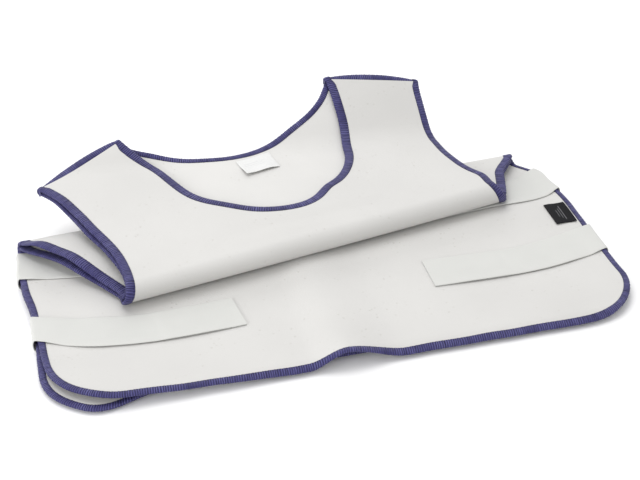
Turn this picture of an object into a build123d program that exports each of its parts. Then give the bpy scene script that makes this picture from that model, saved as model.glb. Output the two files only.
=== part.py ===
from build123d import *
import os
from math import cos, pi, radians, sin

# A poncho-style X-ray protection apron for a dental patient: a front panel and a back panel
# joined at the shoulders, folded in three and lying on a table.
# It is drawn from the middle of the hem, X along the hem, Y back from it and Z up from the table,
# and written out with the origin on the table at the middle of its outline.
# Heights called "level" are heights in the garment when it lies flat and unfolded; each fold turns
# the levels over about its own axis, so one pair of levels describes a layer in every section.

os.makedirs("parts", exist_ok=True)

# Flat panel, half widths and distances up from the hem
HEM_HALF = 300.0
CORNER_R = 70.0
ARMHOLE_START = 240.0
CHEST_HALF = 209.0
CHEST_DROP = 178.0
ARMHOLE_SLANT = 2.0
LOW_FULLNESS = 0.3
HIGH_FULLNESS = 0.4
TIP_FULLNESS = 0.12
TIP_FLARE = 0.25
TIP_HALF = 240.0
TIP_DROP = 29.0
NECK_HALF = 132.0
NECK_AT = 673.0
NECK_POWER = {"front": 1.9, "back": 1.65}
NECK_DROP = {"front": 179.0, "back": 59.0}
SHOULDER_OVERRUN = 27.0

# Make-up of a panel
COVER_T = 0.6
CORE_T = 1.8
LINING_T = 0.6
BINDING_T = 1.0
BINDING_REACH = 9.0
PANEL_INSET = 2.0
PANEL_GAP = 0.2
CLEARANCE = 0.3

# Straps and labels
STRAP_W = 50.0
STRAP_T = 1.6
STRAP_REACH = 205.0
STRAP_ROOT = 60.0
STRAP_LEAN = {"lower_left": -6.5, "lower_right": 4.0, "upper_left": 0.0, "upper_right": 8.0}
STRAP_ABOVE_HEM = {"lower_left": 120.0, "lower_right": 136.0}
STRAP_BELOW_FOLD = {"upper_left": 55.0, "upper_right": 29.0}
HOOK_L = 70.0
HOOK_T = 0.6
HOOK_MARGIN = 2.0
LOOP_T = 0.3
LOOP_MARGIN = 6.0
LABEL_T = 0.6
SIDE_LABEL_W = 42.0
SIDE_LABEL_L = 18.0
SIDE_LABEL_AT = 193.0
CARE_LABEL_W = 44.0
CARE_LABEL_L = 32.0
CARE_LABEL_DROP = 2.0
SEAM_W = 8.0
SEAM_T = 0.7

# Folds: where the first crosses the middle of the panel, how far on the second is, and their angles
FOLD1_AT = 291.0
FOLD1_ANGLE = 3.7
WAIST_L = 117.0
FOLD2_ANGLE = -3.4
STACK_GAP = 2.4
ROLL_GAP = 3.4
BODY_GAP = 0.4

# Rise of the chest behind the roll
ROLL_TURN = 176.0
SLOPE_END = 200.0
SHOULDER_BEND_R = 24.0
SHOULDER_TURN = 38.0
PROFILE_END = 340.0

CURVE_POINTS = 14
FAR = 900.0

# Places up the panel that follow from the sizes above
CHEST_AT = NECK_AT - CHEST_DROP
TIP_AT = NECK_AT - TIP_DROP
FOLD2_AT = FOLD1_AT + WAIST_L
STRAP_AT = dict(STRAP_ABOVE_HEM)
for name, drop in STRAP_BELOW_FOLD.items():
    STRAP_AT[name] = FOLD1_AT - drop

# Levels of the two panels
PANEL_T = COVER_T + CORE_T + LINING_T
BACK_LOW = STRAP_T + CLEARANCE + BINDING_T
FRONT_LOW = BACK_LOW + PANEL_T + 2 * BINDING_T + PANEL_GAP
PANEL_LOW = {"back": BACK_LOW, "front": FRONT_LOW}
FRONT_TOP = FRONT_LOW + PANEL_T + BINDING_T
FRONT_MID = FRONT_LOW + PANEL_T / 2
STRAP_LOW = FRONT_TOP + CLEARANCE
STRAP_TOP = STRAP_LOW + STRAP_T
AXIS1_Z = (STRAP_TOP + FRONT_TOP + STACK_GAP) / 2
WAIST_TOP = 2 * AXIS1_Z - (BACK_LOW - BINDING_T)
AXIS2_Z = WAIST_TOP + ROLL_GAP

FOLD1_RADIUS = AXIS1_Z - FRONT_MID
ROLL_RADIUS = AXIS2_Z - (2 * AXIS1_Z - FRONT_MID)
FOLD1_OUTER = AXIS1_Z - (BACK_LOW - BINDING_T)
ROLL_OUTER = AXIS2_Z - (2 * AXIS1_Z - FRONT_TOP)


def unit(angle):
    return Vector(cos(radians(angle)), sin(radians(angle)), 0)


# Directions along and across each fold, in the flat panel and as folded
ALONG1 = unit(FOLD1_ANGLE)
ACROSS1 = unit(FOLD1_ANGLE + 90)
FLAT_ALONG2 = unit(FOLD2_ANGLE)
FLAT_ACROSS2 = unit(FOLD2_ANGLE + 90)
ALONG2 = unit(2 * FOLD1_ANGLE - FOLD2_ANGLE)
ACROSS2 = unit(2 * FOLD1_ANGLE - FOLD2_ANGLE + 90)
FOLD1_POINT = Vector(0, FOLD1_AT, 0)
FLAT_POINT2 = Vector(0, FOLD2_AT, 0)


def turn_over(point):
    """Where a point of the flat panel beyond fold 1 comes to lie in plan."""
    distance = (point - FOLD1_POINT).dot(ACROSS1)
    return point - ACROSS1 * (2 * distance - pi * FOLD1_RADIUS)


FOLD2_POINT = turn_over(FLAT_POINT2)

FOLD1_PLANE = Plane(origin=FOLD1_POINT + Vector(0, 0, AXIS1_Z), x_dir=ACROSS1, z_dir=ALONG1)
ROLL_PLANE = Plane(origin=FOLD2_POINT + Vector(0, 0, AXIS2_Z), x_dir=ACROSS2, z_dir=ALONG2)
MIRROR_PLANE = Plane(origin=FOLD1_POINT + ACROSS1 * (pi * FOLD1_RADIUS / 2), z_dir=ACROSS1)

SLOPE_ANGLE = 180 - ROLL_TURN
SHOULDER_ANGLE = SLOPE_ANGLE + SHOULDER_TURN
SLOPE_LENGTH = SLOPE_END - radians(ROLL_TURN) * ROLL_RADIUS


def roll_chain(offset):
    """Key points of the chest profile at an offset outside the front panel's middle."""
    radius = ROLL_RADIUS + offset
    rise = Vector(cos(radians(SLOPE_ANGLE)), sin(radians(SLOPE_ANGLE)))
    normal = Vector(-rise.Y, rise.X)
    top = normal * radius
    bend = top + rise * SLOPE_LENGTH
    centre = bend + normal * (SHOULDER_BEND_R - offset)
    climb = Vector(cos(radians(SHOULDER_ANGLE)), sin(radians(SHOULDER_ANGLE)))
    out = centre - Vector(-climb.Y, climb.X) * (SHOULDER_BEND_R - offset)
    end = out + climb * PROFILE_END
    return radius, top, bend, centre, out, end


def profile_reach(distance):
    """Plan distance behind the roll axis, for a distance along the front panel's middle."""
    turn = radians(ROLL_TURN)
    radius, top, bend, centre, out, end = roll_chain(0)
    if distance < turn * radius:
        return -radius * sin(distance / radius)
    if distance < SLOPE_END:
        return top.X + (distance - turn * radius) * cos(radians(SLOPE_ANGLE))
    swept = (distance - SLOPE_END) / SHOULDER_BEND_R
    if swept < radians(SHOULDER_TURN):
        start = radians(SLOPE_ANGLE)
        return bend.X + SHOULDER_BEND_R * (sin(start + swept) - sin(start))
    left = distance - SLOPE_END - SHOULDER_BEND_R * radians(SHOULDER_TURN)
    return out.X + left * cos(radians(SHOULDER_ANGLE))


def chest_point(point):
    """Plan position of a point of the flat panel beyond fold 2."""
    offset = point - FLAT_POINT2
    reach = profile_reach(offset.dot(FLAT_ACROSS2))
    return FOLD2_POINT + ALONG2 * offset.dot(FLAT_ALONG2) + ACROSS2 * reach


def cubic(a, b, c, d, t):
    s = 1 - t
    return a * s**3 + b * (3 * s * s * t) + c * (3 * s * t * t) + d * t**3


def inset_curve(points, inset):
    """The curve moved to its left by the inset."""
    moved = []
    for i, point in enumerate(points):
        ahead = points[min(i + 1, len(points) - 1)]
        behind = points[max(i - 1, 0)]
        tangent = (ahead - behind).normalized()
        moved.append(point + Vector(-tangent.Y, tangent.X) * inset)
    return moved


def armhole(inset):
    """Right armhole of the flat panel from the side seam to just past the shoulder tip."""
    start = Vector(HEM_HALF, ARMHOLE_START)
    chest = Vector(CHEST_HALF, CHEST_AT)
    tip = Vector(TIP_HALF, TIP_AT)
    low_rise = CHEST_AT - ARMHOLE_START
    high_rise = TIP_AT - CHEST_AT
    flare = TIP_HALF - CHEST_HALF
    points = []
    for i in range(CURVE_POINTS):
        t = i / CURVE_POINTS
        first = start + Vector(-ARMHOLE_SLANT, low_rise * LOW_FULLNESS)
        second = chest - Vector(0, low_rise * LOW_FULLNESS)
        points.append(cubic(start, first, second, chest, t))
    for i in range(CURVE_POINTS + 1):
        t = i / CURVE_POINTS
        first = chest + Vector(0, high_rise * HIGH_FULLNESS)
        second = tip - Vector(flare * TIP_FLARE, high_rise * TIP_FULLNESS)
        points.append(cubic(chest, first, second, tip, t))
    points.append(tip + (points[-1] - points[-2]).normalized() * SHOULDER_OVERRUN)
    return inset_curve(points, inset)


def neckline(panel, inset):
    """Neckline of the flat panel, from above the right neck point round to above the left."""
    drop = NECK_DROP[panel]
    power = NECK_POWER[panel]
    points = [Vector(NECK_HALF, NECK_AT + SHOULDER_OVERRUN)]
    steps = 2 * CURVE_POINTS
    for i in range(steps + 1):
        turn = pi * i / steps
        across = abs(cos(turn)) ** (2 / power) * (1 if cos(turn) > 0 else -1)
        points.append(Vector(NECK_HALF * across, NECK_AT - drop * sin(turn) ** (2 / power)))
    points.append(Vector(-NECK_HALF, NECK_AT + SHOULDER_OVERRUN))
    return inset_curve(points, inset)


def left_of(points):
    """The same curve on the left side, run the other way."""
    return [Vector(-p.X, p.Y) for p in reversed(points)]


def crossing(points, base, across):
    """Where a curve of the flat panel crosses a fold."""
    for behind, ahead in zip(points, points[1:]):
        low = (behind - base).dot(across)
        high = (ahead - base).dot(across)
        if low <= 0 < high:
            return behind + (ahead - behind) * (-low / (high - low))


def edge_curve(inset):
    """Right side of the flat panel as points, from the corner to past the shoulder."""
    return [Vector(HEM_HALF - inset, CORNER_R)] + armhole(inset)


def panel_outline(inset):
    """Lower part of the flat panel, as lines of the current sketch."""
    half = HEM_HALF - inset
    radius = CORNER_R - inset
    side = [p for p in armhole(inset) if p.Y < CHEST_AT]
    with BuildLine() as outline:
        Line((-half + radius, inset), (half - radius, inset))
        CenterArc((half - radius, CORNER_R), radius, -90, 90)
        Line((half, CORNER_R), side[0])
        Spline(*side)
        Line(side[-1], (-side[-1].X, side[-1].Y))
        Spline(*left_of(side))
        Line((-side[0].X, side[0].Y), (-half, CORNER_R))
        CenterArc((-half + radius, CORNER_R), radius, 180, 90)
    make_face(outline.edges())


def half_plane(base, along, across, depth):
    """A long rectangle standing on a fold line, on one side of it."""
    a = base - along * FAR
    b = base + along * FAR
    Polygon(a, b, b + across * depth, a + across * depth, align=None, mode=Mode.INTERSECT)


def quarter(plane, low_radius, high_radius, across, up, start, stop):
    """A quarter of a fold's bend from start to stop along it, on the sides of its axis given."""
    corner = across * FAR
    height = up * FAR
    with BuildSketch(plane.offset(start)) as profile:
        Circle(high_radius)
        Circle(low_radius, mode=Mode.SUBTRACT)
        Polygon((0, 0), (corner, 0), (corner, height), (0, height), align=None, mode=Mode.INTERSECT)
    extrude(profile.sketch, amount=stop - start)


def fold_span(inset, base, along, across):
    """Ends of a fold, along it, at the panel's side edges."""
    side = edge_curve(inset)
    right = (crossing(side, base, across) - base).dot(along)
    left = (crossing([Vector(-p.X, p.Y) for p in side], base, across) - base).dot(along)
    return left, right


def trim_height(low, high):
    with BuildSketch(Plane.XY.offset(low)) as slice_face:
        Rectangle(FAR * 2, FAR * 2)
    extrude(slice_face.sketch, amount=high - low, mode=Mode.INTERSECT)


def skirt_layer(panel, inset, low, high):
    """A layer of the lowest section, from the hem to half way round fold 1."""
    start, stop = fold_span(inset, FOLD1_POINT, ALONG1, ACROSS1)
    with BuildPart() as layer:
        with BuildSketch(Plane.XY.offset(low)):
            panel_outline(inset)
            half_plane(FOLD1_POINT, ALONG1, ACROSS1, -FAR)
        extrude(amount=high - low)
        quarter(FOLD1_PLANE, AXIS1_Z - high, AXIS1_Z - low, 1, -1, start, stop)
        trim_height(0, AXIS1_Z - BODY_GAP / 2)
    return layer.part


def waist_layer(panel, inset, low, high):
    """A layer of the middle section, from half way round fold 1 to half way round fold 2."""
    start1, stop1 = fold_span(inset, FOLD1_POINT, ALONG1, ACROSS1)
    start2, stop2 = fold_span(inset, FLAT_POINT2, FLAT_ALONG2, FLAT_ACROSS2)
    top = 2 * AXIS1_Z - low
    bottom = 2 * AXIS1_Z - high
    with BuildSketch() as flat:
        panel_outline(inset)
    with BuildPart() as layer:
        with BuildSketch(Plane.XY.offset(bottom)):
            add(mirror(flat.sketch, about=MIRROR_PLANE, mode=Mode.PRIVATE))
            half_plane(FOLD1_POINT, ALONG1, ACROSS1, -FAR)
            half_plane(FOLD2_POINT, ALONG2, ACROSS2, FAR)
        extrude(amount=top - bottom)
        quarter(FOLD1_PLANE, AXIS1_Z - high, AXIS1_Z - low, 1, 1, start1, stop1)
        quarter(ROLL_PLANE, AXIS2_Z - top, AXIS2_Z - bottom, -1, -1, start2, stop2)
        trim_height(AXIS1_Z + BODY_GAP / 2, AXIS2_Z - BODY_GAP / 2)
    return layer.part


def ribbon(low, high):
    """The chest profile between two levels, as a face of the current sketch."""
    base = FRONT_MID
    in_radius, in_top, in_bend, centre, in_out, in_end = roll_chain(low - base)
    out_radius, out_top, out_bend, centre, out_out, out_end = roll_chain(high - base)
    roll_stop = 90 + SLOPE_ANGLE
    bend_start = SLOPE_ANGLE - 90
    with BuildLine() as outline:
        Line((-in_radius, 0), (-out_radius, 0))
        CenterArc((0, 0), out_radius, 180, roll_stop - 180)
        Line(out_top, out_bend)
        CenterArc(centre, SHOULDER_BEND_R - high + base, bend_start, SHOULDER_TURN)
        Line(out_out, out_end)
        Line(out_end, in_end)
        Line(in_end, in_out)
        CenterArc(centre, SHOULDER_BEND_R - low + base, bend_start, SHOULDER_TURN)
        Line(in_bend, in_top)
        CenterArc((0, 0), in_radius, 180, roll_stop - 180)
    make_face(outline.edges())


def shoulder_line(side):
    """Plan positions of a shoulder's tip and neck point, and the direction out past the seam."""
    tip = chest_point(Vector(side * TIP_HALF, TIP_AT))
    neck = chest_point(Vector(side * NECK_HALF, NECK_AT))
    along = (tip - neck).normalized()
    out = Vector(-along.Y, along.X) * side
    return tip, neck, along, out


def chest_outline(panel, inset):
    """Plan of the chest section behind the roll, cut along the two shoulder seams."""
    quarter_turn = ROLL_RADIUS * pi / 2
    start = FLAT_POINT2 + FLAT_ACROSS2 * quarter_turn
    right = armhole(inset)
    left = [Vector(-p.X, p.Y) for p in right]
    sides = []
    for side in (right, left):
        first = crossing(side, start, FLAT_ACROSS2)
        rest = [p for p in side if (p - first).dot(FLAT_ACROSS2) > 2 * ROLL_RADIUS]
        sides.append([chest_point(p) for p in [first] + rest])
    neck = [chest_point(p) for p in neckline(panel, inset)]
    front = ACROSS2 * (ROLL_OUTER - ROLL_RADIUS + CLEARANCE)
    with BuildLine() as outline:
        Spline(*sides[0])
        Line(sides[0][-1], neck[0])
        Spline(*neck)
        Line(neck[-1], sides[1][-1])
        Spline(*reversed(sides[1]))
        Line(sides[1][0], sides[1][0] - front)
        Line(sides[1][0] - front, sides[0][0] - front)
        Line(sides[0][0] - front, sides[0][0])
    make_face(outline.edges())
    for side in (-1, 1):
        tip, neck_point, along, out = shoulder_line(side)
        a = tip + along * SHOULDER_OVERRUN
        b = neck_point - along * SHOULDER_OVERRUN
        Polygon(a, b, b + out * FAR, a + out * FAR, align=None, mode=Mode.SUBTRACT)


def chest_solid(low, high):
    """The whole chest profile between two levels, as wide as needed, added to the current part."""
    with BuildSketch(ROLL_PLANE) as profile:
        ribbon(low, high)
    extrude(profile.sketch, amount=FAR / 2, both=True)


def chest_layer(panel, inset, low, high):
    """A layer of the upper section, from half way round fold 2 to the shoulders."""
    with BuildPart() as layer:
        chest_solid(low, high)
        with BuildSketch(Plane.XY.offset(AXIS2_Z + BODY_GAP / 2)):
            chest_outline(panel, inset)
        extrude(amount=FAR, mode=Mode.INTERSECT)
    return layer.part


pieces = []


def keep(piece, label):
    piece.label = label
    pieces.append(piece)


SECTIONS = {"skirt": skirt_layer, "waist": waist_layer, "chest": chest_layer}
EDGE_NAMES = {
    "skirt": ["hem_binding"],
    "waist": ["side_binding_left", "side_binding_right"],
    "chest": ["armhole_binding_left", "neck_binding", "armhole_binding_right"],
}

# Sheets and edge bindings of both panels in each section
for section, make_layer in SECTIONS.items():
    for panel, base in PANEL_LOW.items():
        inner_first = [("lining", LINING_T), ("core", CORE_T), ("cover", COVER_T)]
        order = inner_first if panel == "front" else inner_first[::-1]
        low = base
        for sheet, thickness in order:
            keep(make_layer(panel, PANEL_INSET, low, low + thickness), f"{section}_{panel}_{sheet}")
            low += thickness
        outer = make_layer(panel, 0, base - BINDING_T, base + PANEL_T + BINDING_T)
        middle = make_layer(panel, BINDING_REACH, base - BINDING_T, base + PANEL_T + BINDING_T)
        channel = make_layer(panel, PANEL_INSET, base, base + PANEL_T)
        with BuildPart() as binding:
            add(outer)
            add(middle, mode=Mode.SUBTRACT)
            add(channel, mode=Mode.SUBTRACT)
        for solid, name in zip(binding.part.solids().sort_by(Axis.X), EDGE_NAMES[section]):
            keep(Part(solid.wrapped), f"{section}_{panel}_{name}")

# Bound seams that join the two panels along the shoulders
SEAM_LOW = PANEL_LOW["back"] - BINDING_T - SEAM_T
SEAM_HIGH = FRONT_TOP + SEAM_T
for side, name in ((-1, "left"), (1, "right")):
    tip, neck_point, along, out = shoulder_line(side)
    a = tip + along * BINDING_T
    b = neck_point - along * BINDING_T
    with BuildPart() as seam:
        chest_solid(SEAM_LOW, SEAM_HIGH)
        with BuildSketch(Plane.XY.offset(AXIS2_Z)):
            Polygon(a, b, b + out * SEAM_W, a + out * SEAM_W, align=None)
        extrude(amount=FAR, mode=Mode.INTERSECT)
    keep(seam.part, f"shoulder_seam_{name}")

# Straps, sewn under the back panel and wrapped round the sides onto the front
WRAP_R = STRAP_LOW - STRAP_T
WRAP_INNER = WRAP_R / 2
STRAP_AXIS_Z = STRAP_T + WRAP_INNER


def strap_plane(name):
    """Plane across a strap, x inward from the side edge along the strap, at the strap's centre."""
    side = 1 if name.endswith("right") else -1
    lean = STRAP_LEAN[name]
    inward = unit(180 + lean) if side > 0 else unit(lean)
    corner_room = STRAP_W / 2 * abs(sin(radians(lean)))
    origin = Vector(side * (HEM_HALF + corner_room), STRAP_AT[name], 0)
    return Plane(origin=origin, x_dir=inward, z_dir=inward.cross(Vector(0, 0, 1)))


def strap_solid(name, top, root):
    """A strap's upper run, its root under the panels, or both, each with its share of the wrap."""
    with BuildPart() as strap:
        with BuildSketch(strap_plane(name)):
            with Locations((0, STRAP_AXIS_Z)):
                Circle(WRAP_INNER + STRAP_T)
                Circle(WRAP_INNER, mode=Mode.SUBTRACT)
            Polygon((0, -FAR), (-FAR, -FAR), (-FAR, FAR), (0, FAR), align=None, mode=Mode.INTERSECT)
            with Locations((STRAP_REACH / 2, STRAP_LOW + STRAP_T / 2)):
                Rectangle(STRAP_REACH, STRAP_T)
            with Locations((STRAP_ROOT / 2, STRAP_T / 2)):
                Rectangle(STRAP_ROOT, STRAP_T)
            if not root:
                with Locations((0, STRAP_AXIS_Z + BODY_GAP / 2 + FAR / 2)):
                    Rectangle(2 * FAR, FAR, mode=Mode.INTERSECT)
            if not top:
                with Locations((0, STRAP_AXIS_Z - BODY_GAP / 2 - FAR / 2)):
                    Rectangle(2 * FAR, FAR, mode=Mode.INTERSECT)
        extrude(amount=STRAP_W / 2, both=True)
    return strap.part


def strap_pad(name, start, length, low, thickness, width):
    """A flat pad that follows a strap, from start inward along it."""
    with BuildPart() as pad:
        with BuildSketch(strap_plane(name)):
            with Locations((start + length / 2, low + thickness / 2)):
                Rectangle(length, thickness)
        extrude(amount=width / 2, both=True)
    return pad.part


HOOK_W = STRAP_W - 2 * HOOK_MARGIN
PANEL_TOP = FRONT_LOW + PANEL_T
for name in STRAP_AT:
    if name.startswith("lower"):
        keep(strap_solid(name, True, False), f"strap_{name}")
        keep(strap_solid(name, False, True), f"strap_root_{name}")
    else:
        keep(strap_solid(name, True, True), f"strap_{name}")
    hook_start = STRAP_REACH - HOOK_L - LOOP_MARGIN
    keep(strap_pad(name, hook_start, HOOK_L, STRAP_LOW - HOOK_T, HOOK_T, HOOK_W), f"hook_tape_{name}")
    loop_l = HOOK_L + 2 * LOOP_MARGIN
    keep(strap_pad(name, hook_start - LOOP_MARGIN, loop_l, PANEL_TOP, LOOP_T, STRAP_W), f"loop_patch_{name}")

# Tag sewn in at the inner edge of the right side binding, between the straps
SIDE_LABEL_END = HEM_HALF - BINDING_REACH
with BuildPart() as side_label:
    with BuildSketch(Plane.XY.offset(STRAP_LOW)):
        with Locations((SIDE_LABEL_END - SIDE_LABEL_L / 2, SIDE_LABEL_AT)):
            Rectangle(SIDE_LABEL_L, SIDE_LABEL_W)
    extrude(amount=LABEL_T)
keep(side_label.part, "side_label")

# Care label on the inner face of the back panel, below the neck binding
CARE_LOW = PANEL_LOW["back"] + PANEL_T + CLEARANCE
CARE_TOP_AT = NECK_AT - NECK_DROP["back"] - BINDING_REACH - CARE_LABEL_DROP
with BuildPart() as care_label:
    chest_solid(CARE_LOW, CARE_LOW + LABEL_T)
    upper = chest_point(Vector(0, CARE_TOP_AT))
    lower = chest_point(Vector(0, CARE_TOP_AT - CARE_LABEL_L))
    aside = ALONG2 * (CARE_LABEL_W / 2)
    with BuildSketch(Plane.XY.offset(AXIS2_Z)):
        Polygon(upper - aside, upper + aside, lower + aside, lower - aside, align=None)
    extrude(amount=FAR, mode=Mode.INTERSECT)
keep(care_label.part, "care_label")

# Origin at the middle of the whole outline, on the table
box = Compound(children=pieces).bounding_box()
origin = Vector((box.min.X + box.max.X) / 2, (box.min.Y + box.max.Y) / 2, 0)
for piece in pieces:
    label = piece.label
    piece.parent = None
    placed = piece.moved(Location(-origin))
    placed.label = label
    export_step(placed, f"parts/{label}.step")


def show_axis(name, point, height, along):
    at = point - origin
    print(f"{name}: {at.X:.3f} {at.Y:.3f} {height:.3f} along {along.X:.6f} {along.Y:.6f}")


# Hinge axes of the folds, the lower straps and the labels
show_axis("fold_1", FOLD1_POINT + ACROSS1 * (FOLD1_OUTER + CLEARANCE), AXIS1_Z, ALONG1)
show_axis("fold_2", FOLD2_POINT - ACROSS2 * (ROLL_OUTER + CLEARANCE), AXIS2_Z, ALONG2)
for name in ("lower_left", "lower_right"):
    plane = strap_plane(name)
    outside = plane.origin - plane.x_dir * (WRAP_INNER + STRAP_T + CLEARANCE)
    show_axis(f"strap_{name}", outside, STRAP_AXIS_Z, plane.z_dir)
tag_seam = Vector(SIDE_LABEL_END + CLEARANCE, SIDE_LABEL_AT, 0)
show_axis("side_label", tag_seam, STRAP_LOW + LABEL_T / 2, Vector(0, 1, 0))
care_radius, care_start, *rest = roll_chain(CARE_LOW + LABEL_T / 2 - FRONT_MID)
care_reach = (upper - FOLD2_POINT).dot(ACROSS2) + CLEARANCE
care_run = (care_reach - care_start.X) / cos(radians(SLOPE_ANGLE))
care_rise = care_start.Y + care_run * sin(radians(SLOPE_ANGLE))
show_axis("care_label", upper + ACROSS2 * CLEARANCE, AXIS2_Z + care_rise, ALONG2)
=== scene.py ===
import math

import bpy
import numpy as np
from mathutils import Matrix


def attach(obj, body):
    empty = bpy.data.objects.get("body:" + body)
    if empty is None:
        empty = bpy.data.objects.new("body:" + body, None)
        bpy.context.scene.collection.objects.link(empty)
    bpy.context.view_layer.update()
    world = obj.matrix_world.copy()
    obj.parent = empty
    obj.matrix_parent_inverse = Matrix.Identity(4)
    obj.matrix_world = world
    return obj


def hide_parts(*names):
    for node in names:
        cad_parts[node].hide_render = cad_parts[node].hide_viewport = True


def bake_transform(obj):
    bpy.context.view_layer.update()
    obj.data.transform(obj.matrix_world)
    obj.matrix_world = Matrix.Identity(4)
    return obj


# A poncho-style X-ray protection apron, folded in three and lying on a table.
# The garment is drawn flat, in millimetres: across from its middle, up from the hem, and "level",
# the height in the garment when it lies open on a table. folded() then turns it over the two folds.

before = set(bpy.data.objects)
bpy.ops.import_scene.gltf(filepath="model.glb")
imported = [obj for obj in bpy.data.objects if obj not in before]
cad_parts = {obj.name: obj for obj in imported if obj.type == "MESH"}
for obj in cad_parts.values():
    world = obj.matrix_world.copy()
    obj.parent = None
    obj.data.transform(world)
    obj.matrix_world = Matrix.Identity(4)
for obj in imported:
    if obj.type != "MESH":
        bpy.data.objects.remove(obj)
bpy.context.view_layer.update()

MM = 0.001
ORIGIN = np.array([0.639, 220.269, 0.0])

# ---------------------------------------------------------------- flat garment
HEM_HALF = 300.0
CORNER_R = 70.0
ARMHOLE_START = 240.0
CHEST_HALF = 209.0
CHEST_AT = 495.0
TIP_HALF = 240.0
TIP_AT = 644.0
NECK_HALF = 132.0
NECK_AT = 673.0
NECK_POWER = {"front": 1.9, "back": 1.65}
NECK_DROP = {"front": 179.0, "back": 59.0}
BINDING_REACH = 9.0
CLOTH_INSET = 3.0

# Levels: each panel from its lowest face to its highest, and where the cover meets the core
LEVELS = {
    "front": {"low": 8.1, "split": 10.5, "high": 11.1},
    "back": {"low": 2.9, "split": 3.5, "high": 5.9},
}
FRONT_MID = 9.6

# ---------------------------------------------------------------- folds
FOLD1_AT = 291.0
FOLD2_AT = 408.0
FOLD1_ANGLE = math.radians(3.7)
FOLD2_ANGLE = math.radians(-3.4)
AXIS1_Z = 14.25
AXIS2_Z = 30.0
FOLD1_RADIUS = 4.65
ROLL_RADIUS = 11.1
SHOULDER_RADIUS = 46.0
BEND1 = math.pi * FOLD1_RADIUS


def along_across(angle):
    along = np.array([math.cos(angle), math.sin(angle)])
    return along, np.array([-along[1], along[0]])


ALONG1, ACROSS1 = along_across(FOLD1_ANGLE)
ALONG2, ACROSS2 = along_across(FOLD2_ANGLE)
RISE_ALONG, RISE_ACROSS = along_across(2 * FOLD1_ANGLE - FOLD2_ANGLE)


def smooth(x):
    x = np.clip(x, 0.0, 1.0)
    return x * x * (3 - 2 * x)


def hump(x, centre, width):
    return np.exp(-(((x - centre) / width) ** 2))


def chest_rise(t, d, w):
    """Distance behind the roll and height over its axis, t along the roll and d beyond it."""
    u = np.clip(t / 200.0, -1.3, 1.3)
    slope = np.radians(4.1 - 4.6 * u - 3.0 * u * u)
    turn = np.radians(34.5 + 7.4 * u - 8.5 * smooth((-u - 0.55) / 0.6))
    radius = SHOULDER_RADIUS
    bend_at = 200.8 - 26.0 * u - (radius - 16.0) * np.tan(turn / 2)
    r = ROLL_RADIUS
    roll = np.pi - slope
    d1 = roll * r
    on_roll = np.minimum(d, d1) / r
    x = -r * np.sin(on_roll)
    z = -r * np.cos(on_roll)
    run = np.clip(d - d1, 0, np.maximum(bend_at - d1, 0))
    x = x + run * np.cos(slope)
    z = z + run * np.sin(slope)
    swept = np.clip((d - bend_at) / radius, 0, turn)
    x = x + radius * (np.sin(slope + swept) - np.sin(slope))
    z = z + radius * (np.cos(slope) - np.cos(slope + swept))
    rest = np.maximum(d - bend_at - radius * turn, 0)
    x = x + rest * np.cos(slope + turn)
    z = z + rest * np.sin(slope + turn)
    heading = np.where(d < d1, np.pi - on_roll, slope + swept)
    m = np.clip((d - d1) / np.maximum(bend_at - d1, 1), 0, 1)
    w = w + 1.5 * np.sin(np.pi * m)
    # the roll is a little fuller in the middle than at its bound ends
    w = w + 1.2 * (1 - np.clip(np.abs(t + 5) / 215.0, 0, 1) ** 2) * hump(d, 22.0, 20.0)
    # the chest sways a little from side to side, and shallow creases lie along the roll
    w = w + (1.6 * np.sin(t / 47.0 + 0.9) * np.sin(d / 66.0 + t / 150.0) * smooth((d - 40) / 50.0)
             * (1 - smooth((d - 170) / 40.0)))
    w = w + 0.5 * np.sin(d / 5.2 + t / 60.0) * hump(d, 62.0, 22.0) * smooth(np.cos(t / 55.0) + 0.4)
    return x - w * np.sin(heading), z + w * np.cos(heading)


def left_of(c, at, over):
    """Goes from 0 to 1 on the left of the garment, starting at a distance from its middle."""
    return smooth((-c - at) / over)


def right_of(c, at, over):
    return smooth((c - at) / over)


def stray(c, s, panel):
    """How the cloth lies off its flat pattern, in its own plane: slack edges and a pulled waist."""
    c = np.asarray(c, float)
    left = left_of(c, 150, 150)
    right = right_of(c, 150, 150)
    low = 1 - smooth((s - 235) / 60.0)
    across = right * (3.5 * low + 4.5 * hump(s, 212, 55) + 9.0 * hump(s, 287, 19))
    across = across - left * (3.0 * low + 4.0 * hump(s, 222, 45) + 5.0 * hump(s, 282, 20))
    up = 0 * c
    # the hems lie apart: the front one droops forwards, the back one is drawn in behind it
    hem = 1 - smooth(s / 70.0)
    if panel == "front":
        up = up - 1.5 * hem
    else:
        corner = left_of(c, 185, 80)
        askew = 1 - smooth((s - 50) / 110.0)
        up = up + 14.0 * (1 - smooth(s / 130.0)) * (1 - corner)
        up = up - 9.0 * corner * askew
        across = across - 6.5 * corner * askew
    # the waist's ends
    wide = left_of(c, 120, 120)
    across = across - wide * 7.0 * hump(s, 300, 24)
    if panel == "front":
        across = across - wide * 3.2 * hump(s, 348, 32)
    else:
        across = across - wide * 1.5 * hump(s, 340, 30)
    tucked = smooth((s - 316) / 36.0) * (1 - smooth((s - 424) / 36.0))
    across = across - right_of(c, 90, 110) * 14.0 * tucked
    # the armholes
    arm = smooth((s - 410) / 24.0)
    across = across - left_of(c, 70, 120) * arm * (9.0 - 8.5 * smooth((s - 545) / 85.0))
    across = across + right_of(c, 90, 110) * 6.0 * hump(s, 580, 55)
    if panel == "back":
        across = across - (left_of(c, 90, 110) * 2.0 * smooth((s - 465) / 55.0)
                           * (1 - smooth((s - 575) / 60.0)))
    return across, up


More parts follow.
